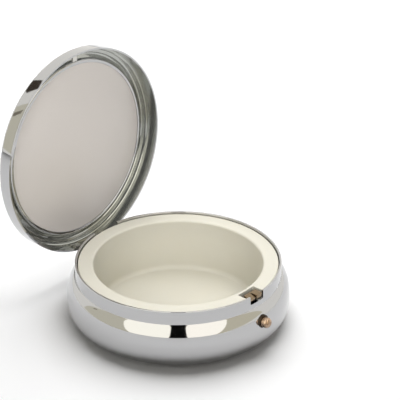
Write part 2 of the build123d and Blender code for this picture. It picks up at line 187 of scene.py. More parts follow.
def cut_away(piece, cutter):
    """Cuts one shape out of a piece and deletes the cutting shape."""
    apply_modifier(piece, "BOOLEAN", operation="DIFFERENCE", solver="EXACT", object=cutter)
    bpy.data.objects.remove(cutter)


def finish_piece(piece, body, nodes, materials):
    """Shades a piece, gives it its materials, and puts it on its body in the place of its nodes."""
    bpy.ops.object.select_all(action="DESELECT")
    piece.select_set(True)
    bpy.context.view_layer.objects.active = piece
    bpy.ops.object.transform_apply()
    bpy.ops.object.shade_smooth_by_angle(angle=smooth_angle)
    if not piece.data.materials:
        for material in materials:
            piece.data.materials.append(material)
    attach(piece, body)
    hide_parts(*nodes)


bowl = turn_profile("bowl", [
    (pole_radius, 0), (bowl_radius, 0), (bowl_radius, side_corner), shoulder_corner,
    (neck_radius, neck_foot), (neck_radius, bowl_height)])
round_ring(bowl, bowl_radius, 0, heel_radius, 28)
round_ring(bowl, bowl_radius, side_corner, side_round, 12)
round_ring(bowl, *shoulder_corner, shoulder_round, 16)
round_ring(bowl, neck_radius, neck_foot, neck_round, 3)
close_turned(bowl, (pole_radius, 0))
apply_modifier(bowl, "SOLIDIFY", thickness=bowl_sheet, offset=-1, use_even_offset=True)
round_ring(bowl, neck_radius, bowl_height, rim_bevel, 3)
round_ring(bowl, neck_radius - bowl_sheet, bowl_height, rim_bevel, 3)

bpy.ops.object.select_all(action="DESELECT")
bpy.ops.mesh.primitive_cube_add(
    size=1, location=(0, -bowl_radius, bowl_height), scale=(notch_width, cut_reach, 2 * notch_depth))
bpy.ops.object.transform_apply()
notch_cutter = bpy.context.object
apply_modifier(notch_cutter, "BEVEL", width=notch_corner, segments=4)
cut_away(bowl, notch_cutter)

bpy.ops.mesh.primitive_cube_add(
    size=1, location=(0, bowl_radius, hinge_opening_foot + hinge_opening_rise / 2),
    scale=(hinge_opening, hinge_opening_reach, hinge_opening_rise))
bpy.ops.object.transform_apply()
opening_cutter = bpy.context.object
apply_modifier(opening_cutter, "BEVEL", width=hinge_opening_corner, segments=5)
cut_away(bowl, opening_cutter)

bpy.ops.mesh.primitive_cylinder_add(
    vertices=48, radius=eyelet_radius, depth=cut_reach, location=(0, -bowl_radius, button_height),
    rotation=(pi / 2, 0, 0))
bpy.ops.object.transform_apply()
cut_away(bowl, bpy.context.object)

# Bright chrome over nickel on polished steel. The plating is a clear, slightly cool mirror; a faint swell
# of the drawn sheet about 14 mm long and rub marks a few tenths of a millimetre wide soften it here and there.
chrome, tree, shader, space = start_material("Bright_chrome_plate")
shader.inputs["Base Color"].default_value = linear("B7B7B8")
shader.inputs["Metallic"].default_value = 1
rub_marks = add_node(
    tree, "ShaderNodeTexNoise", {"Scale": 1 / (0.4 * MM), "Detail": 6, "Roughness": 0.7}, {"Vector": space})
rub_amount = add_node(tree, "ShaderNodeMapRange",
                      {"From Min": 0.35, "From Max": 0.8, "To Min": 0.025, "To Max": 0.09},
                      {"Value": rub_marks.outputs["Fac"]})
sheet_swell = add_node(tree, "ShaderNodeTexNoise", {"Scale": 1 / (14 * MM), "Detail": 1},
                       {"Vector": space})
swell_bump = add_node(tree, "ShaderNodeBump", {"Strength": 0.12, "Distance": 0.1 * MM},
                      {"Height": sheet_swell.outputs["Fac"]})
tree.links.new(rub_amount.outputs["Result"], shader.inputs["Roughness"])
tree.links.new(swell_bump.outputs["Normal"], shader.inputs["Normal"])
finish_piece(bowl, "base", ["base_shell"], [chrome])

# The cup: a loose liner of cream plastic, moulded in one piece. It stands on a ring under its floor, and its
# broad flange fills the neck, with a notch for the latch.

cup_bore = 18.95 * MM
cup_floor_radius = 18.1 * MM
cup_wall = 0.75 * MM
cup_under = 0.95 * MM
cup_floor = 1.85 * MM
flange_top = 13.9 * MM
flange_under = 13.0 * MM
flange_radius = 22.42 * MM
foot_ring_radius = 16.5 * MM
foot_ring_width = 0.8 * MM
floor_pole = 8 * MM
cup_heel_round = 0.8 * MM
flange_edge_round = 0.26 * MM
cup_lip_round = 0.48 * MM
cup_floor_round = 1.15 * MM
flange_notch_start = 19.75 * MM
flange_notch_reach = 5 * MM
flange_notch_width = 5.2 * MM
flange_notch_depth = 0.91 * MM

cup = turn_profile("cup", [
    (foot_ring_radius - foot_ring_width, cup_under), (foot_ring_radius - foot_ring_width, bowl_sheet),
    (foot_ring_radius, bowl_sheet), (foot_ring_radius, cup_under), (cup_floor_radius + cup_wall, cup_under),
    (cup_bore + cup_wall, flange_under), (flange_radius, flange_under), (flange_radius, flange_top),
    (cup_bore, flange_top), (cup_floor_radius, cup_floor), (floor_pole, cup_floor)])
round_ring(cup, cup_floor_radius + cup_wall, cup_under, cup_heel_round, 3)
round_ring(cup, flange_radius, flange_top, flange_edge_round, 5)
round_ring(cup, cup_bore, flange_top, cup_lip_round, 8)
round_ring(cup, cup_floor_radius, cup_floor, cup_floor_round, 8)
close_turned(cup, (foot_ring_radius - foot_ring_width, cup_under), (floor_pole, cup_floor))
bpy.ops.object.select_all(action="DESELECT")
bpy.ops.mesh.primitive_cube_add(
    size=1, location=(0, -(flange_notch_start + flange_notch_reach / 2), flange_top),
    scale=(flange_notch_width, flange_notch_reach, 2 * flange_notch_depth))
bpy.ops.object.transform_apply()
cut_away(cup, bpy.context.object)

# Moulded polypropylene, creamy white. The mould was fine blasted, so the gloss is soft and the surface has a
# grain of about a tenth of a millimetre, drawn at 0.25 mm so that it shows, and the colour is a little cloudy.
cream, tree, shader, space = start_material("Cream_moulded_plastic")
shader.inputs["IOR"].default_value = 1.49
shader.inputs["Roughness"].default_value = 0.38
shader.inputs["Subsurface Weight"].default_value = 0.12
shader.inputs["Subsurface Radius"].default_value = (1.0, 0.85, 0.6)
shader.inputs["Subsurface Scale"].default_value = 0.8 * MM
cloud = add_node(tree, "ShaderNodeTexNoise", {"Scale": 1 / (9 * MM), "Detail": 3},
                 {"Vector": space})
cloud_colour = add_node(tree, "ShaderNodeMix", {"data_type": "RGBA"},
                        {"Factor": cloud.outputs["Fac"]})
cloud_colour.inputs[6].default_value = linear("C6C2B4")
cloud_colour.inputs[7].default_value = linear("CAC7BA")
grain = add_node(tree, "ShaderNodeTexNoise", {"Scale": 1 / (0.25 * MM), "Detail": 4},
                 {"Vector": space})
grain_bump = add_node(tree, "ShaderNodeBump", {"Strength": 0.15, "Distance": 0.02 * MM},
                      {"Height": grain.outputs["Fac"]})
tree.links.new(cloud_colour.outputs[2], shader.inputs["Base Color"])
tree.links.new(grain_bump.outputs["Normal"], shader.inputs["Normal"])
finish_piece(cup, "base", ["insert_cup"], [cream])

# The push button and its eyelet: a turned brass pin that slides in a pressed sleeve, both nickel plated.
# The pin is riveted to the latch plate behind, and its end is domed for the thumb.

button_radius = 1.2 * MM
button_dome = 0.9 * MM
shank_radius = 0.95 * MM
rivet_head = 0.3 * MM
rivet_radius = 0.6 * MM
latch_face = 21.2 * MM
collar_radius = 1.75 * MM
collar_back = 22.485 * MM
collar_front = 22.885 * MM
eyelet_bore = 1.25 * MM
eyelet_barrel = 1.495 * MM
eyelet_flange = 2.0 * MM
eyelet_sheet = 0.4 * MM
eyelet_lip_round = 0.12 * MM


def lay_down(piece):
    """Turns an upright turned piece so that its axis points along -Y at the button's height."""
    piece.rotation_euler = (pi / 2, 0, 0)
    piece.location = (0, 0, button_height)


button_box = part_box("push_button")
button_back = -button_box[1].y
button_tip = -button_box[0].y
button = turn_profile("button", [
    (shank_radius, button_back), (shank_radius, button_back + rivet_head),
    (rivet_radius, button_back + rivet_head), (rivet_radius, latch_face), (shank_radius, latch_face),
    (shank_radius, collar_back), (collar_radius, collar_back), (collar_radius, collar_front),
    (button_radius, collar_front), (button_radius, button_tip), (pole_radius, button_tip)], 64)
round_ring(button, button_radius, button_tip, button_dome, 12)
close_turned(button, (shank_radius, button_back), (pole_radius, button_tip))
lay_down(button)

eyelet_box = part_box("button_eyelet")
eyelet_back = -eyelet_box[1].y
eyelet_lip = -eyelet_box[0].y
eyelet = turn_profile("eyelet", [
    (eyelet_bore, eyelet_back), (eyelet_flange, eyelet_back), (eyelet_flange, eyelet_sheet + eyelet_back),
    (eyelet_barrel, eyelet_sheet + eyelet_back), (eyelet_barrel, eyelet_lip), (eyelet_bore, eyelet_lip),
    (eyelet_bore, eyelet_back)], 64)
close_turned(eyelet)
round_ring(eyelet, eyelet_barrel, eyelet_lip, eyelet_lip_round, 3)
lay_down(eyelet)

# Bright nickel over brass, worn thin where a thumb presses it. The plating is a warm mirror, and the brass
# shows through it as a yellower tone in patches about 1 mm across. Turning has left fine rings, drawn 0.94 mm
# apart so that they show, because one band of the wave is 2 pi times the 0.15 mm of its scale.
nickel, tree, shader, space = start_material("Thin_nickel_over_brass")
shader.inputs["Metallic"].default_value = 1
wear = add_node(tree, "ShaderNodeTexNoise", {"Scale": 1 / (1.1 * MM), "Detail": 4},
                {"Vector": space})
wear_share = add_node(tree, "ShaderNodeMapRange", {"From Min": 0.4, "From Max": 0.65},
                      {"Value": wear.outputs["Fac"]})
wear_colour = add_node(tree, "ShaderNodeMix", {"data_type": "RGBA"},
                       {"Factor": wear_share.outputs["Result"]})
wear_colour.inputs[6].default_value = linear("BBA28E")
wear_colour.inputs[7].default_value = linear("7A6146")
wear_roughness = add_node(tree, "ShaderNodeMapRange", {"To Min": 0.05, "To Max": 0.14},
                          {"Value": wear_share.outputs["Result"]})
turning = add_node(tree, "ShaderNodeTexWave", {
    "wave_type": "BANDS", "bands_direction": "Y", "Scale": 1 / (0.15 * MM) / 20, "Distortion": 0.4},
                   {"Vector": space})
turning_bump = add_node(tree, "ShaderNodeBump", {"Strength": 0.12, "Distance": 0.01 * MM},
                        {"Height": turning.outputs["Fac"]})
tree.links.new(wear_colour.outputs[2], shader.inputs["Base Color"])
tree.links.new(wear_roughness.outputs["Result"], shader.inputs["Roughness"])
tree.links.new(turning_bump.outputs["Normal"], shader.inputs["Normal"])
finish_piece(button, "button", ["push_button"], [nickel])

# The eyelet's nickel plate is painted a blackish brown, deeper in spots about 0.6 mm across. The dark colour
# is painted shade and a painted dark reflection, so that it stands out as a dark ring round the button.
painted_shade_nickel, tree, shader, space = start_material("Nickel_painted_dark_for_shade")
shader.inputs["Metallic"].default_value = 1
spots = add_node(tree, "ShaderNodeTexNoise", {"Scale": 1 / (0.6 * MM), "Detail": 4},
                 {"Vector": space})
painted_shade_colour = add_node(tree, "ShaderNodeMix", {"data_type": "RGBA"},
                       {"Factor": spots.outputs["Fac"]})
# Both browns of this mix are painted shade: they stand in for the shadowed hole and the dark reflection round the
# button.
painted_shade_colour.inputs[6].default_value = linear("2C241C")
painted_shade_colour.inputs[7].default_value = linear("4C4035")
spot_roughness = add_node(tree, "ShaderNodeMapRange", {"To Min": 0.1, "To Max": 0.24},
                          {"Value": spots.outputs["Fac"]})
tree.links.new(painted_shade_colour.outputs[2], shader.inputs["Base Color"])
tree.links.new(spot_roughness.outputs["Result"], shader.inputs["Roughness"])
finish_piece(eyelet, "base", ["button_eyelet"], [painted_shade_nickel])

# The latch: a stiff pressed plate riveted to the button, with a hook that holds the lid down, and the leaf
# spring that pushes it outwards from under the cup. Both are small pressings with slightly broken edges.


def pressed_copy(name, node, body, materials, edge=0.0):
    """Copies a pressed piece's mesh, merges it and breaks its sharp edges."""
    bpy.ops.object.select_all(action="DESELECT")
    frame["nodes"][node].select_set(True)
    bpy.context.view_layer.objects.active = frame["nodes"][node]
    bpy.ops.object.duplicate()
    piece = bpy.context.object
    piece.name = piece.data.name = name
    del piece["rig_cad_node"]
    piece.data.materials.clear()
    bpy.ops.object.mode_set(mode="EDIT")
    bpy.ops.mesh.select_all(action="SELECT")
    bpy.ops.mesh.remove_doubles(threshold=merge_distance)
    bpy.ops.mesh.dissolve_limited(angle_limit=radians(0.5))
    bpy.ops.object.mode_set(mode="OBJECT")
    if edge:
        apply_modifier(piece, "BEVEL", width=edge, segments=2, limit_method="ANGLE", angle_limit=radians(40))
    finish_piece(piece, body, [node], materials)


# Hardened spring steel, left a warm grey by its tempering, with the rolling's fine streaks 0.5 mm long, which
# dull its reflections in lines.
spring_steel, tree, shader, space = start_material("Tempered_spring_steel")
shader.inputs["Metallic"].default_value = 1
streak_space = add_node(tree, "ShaderNodeMapping", {"Scale": (1, 6, 1)},
                        {"Vector": space})
streaks = add_node(tree, "ShaderNodeTexNoise", {"Scale": 1 / (0.5 * MM), "Detail": 5},
                   {"Vector": streak_space.outputs["Vector"]})
streak_colour = add_node(tree, "ShaderNodeMix", {"data_type": "RGBA"},
                         {"Factor": streaks.outputs["Fac"]})
streak_colour.inputs[6].default_value = linear("A39C92")
streak_colour.inputs[7].default_value = linear("C2BCB2")
streak_roughness = add_node(tree, "ShaderNodeMapRange", {"To Min": 0.2, "To Max": 0.38},
                            {"Value": streaks.outputs["Fac"]})
tree.links.new(streak_colour.outputs[2], shader.inputs["Base Color"])
tree.links.new(streak_roughness.outputs["Result"], shader.inputs["Roughness"])

# The latch plate is plain brass sheet, tarnished to a greyish brown that still shines, with darker spots some
# 0.8 mm across.
brass, tree, shader, space = start_material("Tarnished_brass_sheet")
shader.inputs["Metallic"].default_value = 1
tarnish = add_node(tree, "ShaderNodeTexNoise", {"Scale": 1 / (0.8 * MM), "Detail": 5},
                   {"Vector": space})
tarnish_colour = add_node(tree, "ShaderNodeMix", {"data_type": "RGBA"},
                          {"Factor": tarnish.outputs["Fac"]})
tarnish_colour.inputs[6].default_value = linear("74634A")
tarnish_colour.inputs[7].default_value = linear("948370")
tarnish_roughness = add_node(tree, "ShaderNodeMapRange", {"To Min": 0.16, "To Max": 0.34},
                             {"Value": tarnish.outputs["Fac"]})
tree.links.new(tarnish_colour.outputs[2], shader.inputs["Base Color"])
tree.links.new(tarnish_roughness.outputs["Result"], shader.inputs["Roughness"])
pressed_copy("latch", "latch_plate", "button", [brass], edge=0.05 * MM)
pressed_copy("latch_leaf", "latch_spring", "base", [spring_steel], edge=0.03 * MM)

# The hinge: a pressed leaf with two knuckles on the base, a pin pressed through them, the lid's arm with its
# own knuckles between, and a wire spring wound on the pin that throws the lid open.

# Nickel plate on pressed steel, tumbled with the small parts, so that it is bright but finely dimpled.
tumbled, tree, shader, space = start_material("Tumbled_nickel_plate")
shader.inputs["Base Color"].default_value = linear("C6C4BE")
shader.inputs["Metallic"].default_value = 1
dimples = add_node(tree, "ShaderNodeTexNoise", {"Scale": 1 / (0.3 * MM), "Detail": 4},
                   {"Vector": space})
dimple_roughness = add_node(tree, "ShaderNodeMapRange", {"To Min": 0.1, "To Max": 0.28},
                            {"Value": dimples.outputs["Fac"]})
dimple_bump = add_node(tree, "ShaderNodeBump", {"Strength": 0.2, "Distance": 0.01 * MM},
                       {"Height": dimples.outputs["Fac"]})
tree.links.new(dimple_roughness.outputs["Result"], shader.inputs["Roughness"])
tree.links.new(dimple_bump.outputs["Normal"], shader.inputs["Normal"])
pressed_copy("hinge_base_leaf", "hinge_leaf", "base", [tumbled], edge=0.05 * MM)
pressed_copy("hinge_pin_rod", "hinge_pin", "base", [tumbled])
pressed_copy("hinge_lid_arm", "hinge_arm", "lid", [tumbled], edge=0.04 * MM)
pressed_copy("hinge_wire", "hinge_spring", "lid", [spring_steel])

# The lid: a second drawn shell, chrome plated like the bowl, with three bead rings stepped up from its skirt
# and a bezel that slopes in to the recess for the picture. It is shown swung open about the hinge pin.

pin_y = 23.8 * MM
pin_z = 8.5 * MM
open_angle = radians(92.5)
lid_sheet = 0.35 * MM
skirt_edge = 11.7 * MM
lid_radius = 24.0 * MM
outer_step = 23.3 * MM
middle_step = 22.4 * MM
inner_step = 21.6 * MM
recess_radius = 20.5 * MM
ring_top = 14.8 * MM
step_rise = 0.8 * MM
bezel_drop = 0.4 * MM
lid_floor = 15.6 * MM
step_round = 0.36 * MM
step_foot_round = 0.06 * MM
bezel_edge_round = 0.1 * MM
recess_edge_round = 0.15 * MM


def swing_open(piece):
    """Swings a piece that was drawn on the shut lid to where it is when the lid is open."""
    bpy.ops.object.select_all(action="DESELECT")
    piece.select_set(True)
    bpy.context.view_layer.objects.active = piece
    bpy.ops.object.mode_set(mode="EDIT")
    bpy.ops.mesh.select_all(action="SELECT")
    bpy.ops.transform.rotate(value=open_angle, orient_axis="X", orient_type="GLOBAL",
                             center_override=(0, pin_y, pin_z))
    bpy.ops.object.mode_set(mode="OBJECT")


middle_top = ring_top + step_rise
inner_top = ring_top + 2 * step_rise
recess_edge = inner_top - bezel_drop
lid = turn_profile("lid", [
    (lid_radius, skirt_edge), (lid_radius, ring_top), (outer_step, ring_top), (outer_step, middle_top),
    (middle_step, middle_top), (middle_step, inner_top), (inner_step, inner_top), (recess_radius, recess_edge),
    (recess_radius, lid_floor)])
for radius, height, width, steps in (
        (lid_radius, ring_top, step_round, 8), (outer_step, ring_top, step_foot_round, 3),
        (outer_step, middle_top, step_round, 8), (middle_step, middle_top, step_foot_round, 3),
        (middle_step, inner_top, step_round, 8), (inner_step, inner_top, bezel_edge_round, 3),
        (recess_radius, recess_edge, recess_edge_round, 4)):
    round_ring(lid, radius, height, width, steps)
close_turned(lid, (recess_radius, lid_floor))

# The lid's inside gets little current in the plating bath, so its chrome is thin there and stays a dull grey,
# cloudy over some 2 mm and soft in its reflections.
dull_chrome, tree, shader, space = start_material("Thin_dull_chrome")
shader.inputs["Metallic"].default_value = 0.82
dull_cloud = add_node(tree, "ShaderNodeTexNoise", {"Scale": 1 / (2 * MM), "Detail": 4},
                      {"Vector": space})
dull_colour = add_node(tree, "ShaderNodeMix", {"data_type": "RGBA"},
                       {"Factor": dull_cloud.outputs["Fac"]})
dull_colour.inputs[6].default_value = linear("A3A5A0")
dull_colour.inputs[7].default_value = linear("B9BAB6")
dull_roughness = add_node(tree, "ShaderNodeMapRange", {"To Min": 0.05, "To Max": 0.14},
                          {"Value": dull_cloud.outputs["Fac"]})
tree.links.new(dull_colour.outputs[2], shader.inputs["Base Color"])
tree.links.new(dull_roughness.outputs["Result"], shader.inputs["Roughness"])
for finish in (chrome, dull_chrome):
    lid.data.materials.append(finish)
apply_modifier(lid, "SOLIDIFY", thickness=lid_sheet, offset=-1, use_even_offset=True, material_offset=1)
swing_open(lid)
finish_piece(lid, "lid", ["lid_shell"], [])

# The picture: a thin card printed in several colours, laid in the recess under a clear plastic disc that is
# pressed in over it. The print has a plain cross between two ears of wheat, red berries at their foot, and two
# wavy lines, in a thin round border.

print_radius = 20.4 * MM
print_top = 15.69 * MM
ink_film = 0.002 * MM
ink_step = 0.003 * MM
border_bore = 18.95 * MM
border_radius = 19.25 * MM
cross_upright = 16 * MM
cross_bar = 8.6 * MM
cross_middle = 4.5 * MM
cross_bar_height = 8 * MM
ear_radius = 12.0 * MM
ear_height = 3.0 * MM
ear_sweep = radians(96)
ear_foot = 0.08
stem_width = 0.35 * MM
grains_in_row = 7
grain_start = radians(34)
grain_spacing = radians(10.5)
grain_offset = 1.3 * MM
grain_lean = 0.45
berry_size = 1.7 * MM
wave_radius = 1.5 * MM
wave_width = 0.5 * MM
wave_pitch = 2.12 * MM
wave_lift = 1.06 * MM

card = turn_profile("picture_card", [(print_radius, lid_floor), (print_radius, print_top)], 128)
close_turned(card, (print_radius, lid_floor), (print_radius, print_top))

# Satin card, greyish white with a faint pearl that softens its edges of light, its fibre about 0.6 mm long.
card_paper, tree, shader, space = start_material("Pearl_card")
shader.inputs["Roughness"].default_value = 0.45
shader.inputs["Sheen Weight"].default_value = 0.1
fibre = add_node(tree, "ShaderNodeTexNoise", {"Scale": 1 / (0.6 * MM), "Detail": 5},
                 {"Vector": space})
fibre_colour = add_node(tree, "ShaderNodeMix", {"data_type": "RGBA"},
                        {"Factor": fibre.outputs["Fac"]})
fibre_colour.inputs[6].default_value = linear("C4C1BC")
fibre_colour.inputs[7].default_value = linear("CDCBC6")
tree.links.new(fibre_colour.outputs[2], shader.inputs["Base Color"])
card.data.materials.append(card_paper)


def mix_ink(name, thin_colour, full_colour):
    """Makes one printing ink, a little uneven over half a millimetre as the press laid it."""
    ink, ink_tree, ink_shader, ink_space = start_material(name)
    ink_shader.inputs["Roughness"].default_value = 0.4
    lay = add_node(ink_tree, "ShaderNodeTexNoise", {"Scale": 1 / (0.5 * MM), "Detail": 3}, {"Vector": ink_space})
    lay_colour = add_node(ink_tree, "ShaderNodeMix", {"data_type": "RGBA"}, {"Factor": lay.outputs["Fac"]})
    lay_colour.inputs[6].default_value = linear(thin_colour)
    lay_colour.inputs[7].default_value = linear(full_colour)
    ink_tree.links.new(lay_colour.outputs[2], ink_shader.inputs["Base Color"])
    return ink


gold_ink = mix_ink("Gold_ink", "C99A42", "B07A22")
orange_ink = mix_ink("Orange_ink", "CC6A26", "B24C16")
red_ink = mix_ink("Red_ink", "B0301E", "961D14")
brown_ink = mix_ink("Brown_ink", "6E3820", "512416")
violet_ink = mix_ink("Violet_ink", "71547C", "573C66")
slate_ink = mix_ink("Slate_ink", "7887A2", "5F718E")
ink_shapes = []


def lay_ink(shape, layer, ink, place=(0, 0), turn=0.0):
    """Places a shape that was drawn at the origin on the card, as a film of one ink in one of three layers."""
    shape.data.materials.clear()
    shape.data.materials.append(ink)
    shape.location = (place[0], place[1], print_top + layer * ink_step)
    shape.rotation_euler = (0, 0, turn)
    ink_shapes.append(shape)


def draw_block(width, height, corners=4, side_bow=0.0):
    """Draws a flat shape: a rectangle, a disc of many corners, or a pointed grain with bowed sides."""
    bpy.ops.object.select_all(action="DESELECT")
    bpy.ops.mesh.primitive_circle_add(vertices=corners, radius=0.5, fill_type="NGON", location=(0, 0, 0))
    shape = bpy.context.object
    bpy.ops.object.mode_set(mode="EDIT")
    bpy.ops.mesh.select_all(action="SELECT")
    if corners == 4 and not side_bow:
        bpy.ops.transform.rotate(value=pi / 4, orient_axis="Z", center_override=(0, 0, 0))
        bpy.ops.transform.resize(value=(2 ** 0.5, 2 ** 0.5, 1), center_override=(0, 0, 0))
    bpy.ops.transform.resize(value=(width, height, 1), center_override=(0, 0, 0))
    bpy.ops.mesh.extrude_region_move(TRANSFORM_OT_translate={"value": (0, 0, ink_film)})
    bpy.ops.mesh.select_all(action="SELECT")
    bpy.ops.mesh.normals_make_consistent(inside=False)
    bpy.ops.object.mode_set(mode="OBJECT")
    if side_bow:
        bpy.ops.object.mode_set(mode="EDIT")
        bpy.ops.mesh.select_mode(type="EDGE")
        bpy.ops.mesh.select_all(action="DESELECT")
        bpy.ops.object.mode_set(mode="OBJECT")
        vertices = shape.data.vertices
        for edge in shape.data.edges:
            ends = [vertices[v].co for v in edge.vertices]
            edge.select = abs(ends[0].z - ends[1].z) > merge_distance and abs(ends[0].x) > width / 4
        bpy.ops.object.mode_set(mode="EDIT")
        bpy.ops.mesh.bevel(offset=side_bow, segments=6, affect="EDGES")
        bpy.ops.object.mode_set(mode="OBJECT")
    return shape


def draw_arc(radius, start, sweep, width):
    """Draws a flat curved stroke about the origin by spinning its cross-section."""
    bpy.ops.object.select_all(action="DESELECT")
    bpy.ops.mesh.primitive_plane_add(size=1, location=(0, 0, 0), rotation=(pi / 2, 0, 0))
    shape = bpy.context.object
    shape.scale = (width, ink_film, 1)
    shape.location = (radius, 0, ink_film / 2)
    bpy.ops.object.transform_apply()
    shape.rotation_euler = (0, 0, start)
    bpy.ops.object.transform_apply()
    bpy.ops.object.mode_set(mode="EDIT")
    bpy.ops.mesh.select_all(action="SELECT")
    bpy.ops.mesh.spin(steps=max(12, int(abs(sweep) * 15)), angle=-sweep, center=(0, 0, 0), axis=(0, 0, 1))
    bpy.ops.mesh.select_all(action="SELECT")
    bpy.ops.mesh.remove_doubles(threshold=merge_distance)
    bpy.ops.mesh.normals_make_consistent(inside=False)
    bpy.ops.object.mode_set(mode="OBJECT")
    return shape


def copy_shape(shape):
    """Copies a shape with its own mesh."""
    bpy.ops.object.select_all(action="DESELECT")
    shape.select_set(True)
    bpy.context.view_layer.objects.active = shape
    bpy.ops.object.duplicate()
    return bpy.context.object


border = turn_profile("border", [
    (border_bore, 0), (border_radius, 0), (border_radius, ink_film), (border_bore, ink_film),
    (border_bore, 0)], 128)
close_turned(border)
lay_ink(border, 0, slate_ink)
for layer, (ink, beam) in enumerate(((brown_ink, 3.0 * MM), (orange_ink, 2.4 * MM), (gold_ink, 0.9 * MM))):
    lay_ink(draw_block(beam, cross_upright + beam), layer, ink, (0, cross_middle))
    lay_ink(draw_block(cross_bar + beam, beam), layer, ink, (0, cross_bar_height))

grain_edge = draw_block(2.1 * MM, 4.4 * MM, 4, 0.9 * MM)
grain = draw_block(1.5 * MM, 3.6 * MM, 4, 0.65 * MM)
for side in (-1, 1):
    foot_angle = -pi / 2 + side * ear_foot
    lay_ink(draw_arc(ear_radius, foot_angle, side * ear_sweep, stem_width), 0, brown_ink, (0, ear_height))
    for number in range(grains_in_row):
        angle = foot_angle + side * (grain_start + number * grain_spacing)
        for row in (-1, 1):
            reach = ear_radius + row * grain_offset
            place = (reach * cos(angle), ear_height + reach * sin(angle))
            lean = angle - (0 if side > 0 else pi) - row * side * grain_lean
            lay_ink(copy_shape(grain_edge), 0, brown_ink, place, lean)
            lay_ink(copy_shape(grain), 1, gold_ink, place, lean)
for extra in (grain_edge, grain):
    bpy.data.objects.remove(extra)

berry = draw_block(berry_size, berry_size, 24)
for place in ((-1.7, -9.6), (0, -8.3), (1.7, -9.6), (-0.9, -11.0), (0.9, -11.0)):
    lay_ink(copy_shape(berry), 2, red_ink, (place[0] * MM, place[1] * MM))
bpy.data.objects.remove(berry)

for ink, height, half_waves in ((slate_ink, -13.4 * MM, 8), (violet_ink, -15.2 * MM, 6)):
    for number in range(half_waves):
        crest = number % 2
        wave = draw_arc(wave_radius, radians(45 if crest else -135), radians(90), wave_width)
        across = (number - (half_waves - 1) / 2) * wave_pitch
        lay_ink(wave, 1, ink, (across, height + (-1 if crest else 1) * wave_lift))

bpy.ops.object.select_all(action="DESELECT")
for shape in ink_shapes:
    shape.select_set(True)
bpy.context.view_layer.objects.active = ink_shapes[0]
bpy.ops.object.transform_apply()
card.select_set(True)
bpy.context.view_layer.objects.active = card
bpy.ops.object.join()
swing_open(card)
finish_piece(card, "lid", ["print_disc"], [])

# The clear disc over the picture: stamped from clear sheet, with its upper edge broken, and pressed into the
# recess so that it holds the card down.

cover_foot = 15.71 * MM
cover_top = 16.05 * MM
cover_round = 0.1 * MM
cover = turn_profile("clear_disc", [
    (print_radius, cover_foot), (print_radius, cover_top), (pole_radius, cover_top)], 192)
round_ring(cover, print_radius, cover_top, cover_round, 3)
close_turned(cover, (print_radius, cover_foot), (pole_radius, cover_top))
swing_open(cover)

# Clear acrylic sheet, polished, with a faint polishing haze in clouds of 3 mm that takes the edge off its glints.
acrylic, tree, shader, space = start_material("Clear_acrylic")
shader.inputs["Base Color"].default_value = linear("FCFDFC")
shader.inputs["IOR"].default_value = 1.49
shader.inputs["Transmission Weight"].default_value = 1
haze = add_node(tree, "ShaderNodeTexNoise", {"Scale": 1 / (3 * MM), "Detail": 5},
                {"Vector": space})
haze_roughness = add_node(tree, "ShaderNodeMapRange", {"To Min": 0.01, "To Max": 0.05},
                          {"Value": haze.outputs["Fac"]})
tree.links.new(haze_roughness.outputs["Result"], shader.inputs["Roughness"])
finish_piece(cover, "lid", ["clear_cover"], [acrylic])

# The mirror: a disc of silvered sheet under the lid's floor, held by a pressed ring whose lip is turned in
# over its edge.

mirror_radius = 20.45 * MM
mirror_top = 15.25 * MM
mirror_face = 14.65 * MM
ring_bore = 20.5 * MM
ring_outer = 21.0 * MM
ring_lip = 20.0 * MM
ring_low = 14.4 * MM
ring_seat = 14.64 * MM
mirror_edge_round = 0.08 * MM
ring_edge_round = 0.6 * MM
lip_edge_round = 0.1 * MM

mirror = turn_profile("mirror", [
    (mirror_radius, mirror_top), (mirror_radius, mirror_face), (pole_radius, mirror_face)], 192)
round_ring(mirror, mirror_radius, mirror_face, mirror_edge_round, 2)
close_turned(mirror, (mirror_radius, mirror_top), (pole_radius, mirror_face))
swing_open(mirror)

# Silvered plastic mirror sheet that still wears its milky protective film. The film scatters nearly all of the
# light to a warm satin grey, cloudy over some 18 mm, and only its glossy skin mirrors the cup's rim faintly.
silvered, tree, shader, space = start_material("Mirror_sheet_under_film")
shader.inputs["Metallic"].default_value = 0.12
shader.inputs["Roughness"].default_value = 0.5
shader.inputs["Coat Weight"].default_value = 0.35
shader.inputs["Coat Roughness"].default_value = 0.03
film_cloud = add_node(tree, "ShaderNodeTexNoise", {"Scale": 1 / (18 * MM), "Detail": 3},
                      {"Vector": space})
film_colour = add_node(tree, "ShaderNodeMix", {"data_type": "RGBA"},
                       {"Factor": film_cloud.outputs["Fac"]})
film_colour.inputs[6].default_value = linear("C7C1BC")
film_colour.inputs[7].default_value = linear("CDC7C2")
film_bump = add_node(tree, "ShaderNodeBump", {"Strength": 0.1, "Distance": 0.1 * MM},
                     {"Height": film_cloud.outputs["Fac"]})
tree.links.new(film_colour.outputs[2], shader.inputs["Base Color"])
tree.links.new(film_bump.outputs["Normal"], shader.inputs["Coat Normal"])
finish_piece(mirror, "lid", ["mirror_disc"], [silvered])

mirror_frame = turn_profile("mirror_frame", [
    (ring_bore, mirror_top), (ring_outer, mirror_top), (ring_outer, ring_low), (ring_lip, ring_low),
    (ring_lip, ring_seat), (ring_bore, ring_seat), (ring_bore, mirror_top)])
close_turned(mirror_frame)
round_ring(mirror_frame, ring_outer, ring_low, ring_edge_round, 8)
round_ring(mirror_frame, ring_lip, ring_low, lip_edge_round, 3)
swing_open(mirror_frame)
finish_piece(mirror_frame, "lid", ["mirror_ring"], [chrome])

# The hook that the latch holds: a small pressing soldered inside the lid's skirt, with a prong that goes in
# through the notch.
pressed_copy("lid_hook", "catch_tongue", "lid", [tumbled], edge=0.04 * MM)

# The stage: a white paper floor under a wide soft light, with a weaker one in front. The rest shows only in
# reflections: a pale tent, two white cloths that lean over the object with a dark gap between them for the
# camera, an olive cloth at either side and two small darker folds at the left.

